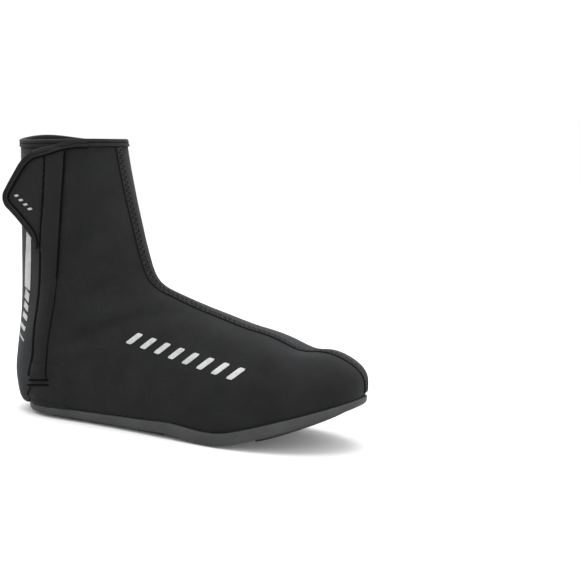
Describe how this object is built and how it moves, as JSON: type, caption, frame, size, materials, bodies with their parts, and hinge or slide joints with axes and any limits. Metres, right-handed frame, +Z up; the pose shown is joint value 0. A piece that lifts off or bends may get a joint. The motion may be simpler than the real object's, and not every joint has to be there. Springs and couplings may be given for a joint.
{
  "type": "winter overshoe",
  "caption": "Hollow neoprene winter cycling overshoe for a right foot, with a rear closure flap and pull tab, on a cupped rubber sole with knurled tread pads.",
  "frame": {"origin": "on the floor, in the flat underside of the heel tread, on the sole's centre line", "axes": "+X towards the toe, +Y towards the inner side of the foot, +Z up"},
  "size_m": [0.3079, 0.1069, 0.2279],
  "materials": {
    "neoprene": "black neoprene faced with fine knit",
    "flap_cloth": "black neoprene faced with fine knit",
    "tape": "black stitched tape",
    "sole_rubber": "satin grey rubber",
    "tread_rubber": "knurled grey rubber"
  },
  "bodies": {
    "root": {"upper": "neoprene", "collar_hem": "tape", "closure_flap": "flap_cloth", "tab_tape": "tape", "front_seam": "tape", "outsole": "sole_rubber", "heel_tread": "tread_rubber", "toe_tread": "tread_rubber"}
  },
  "joints": []
}
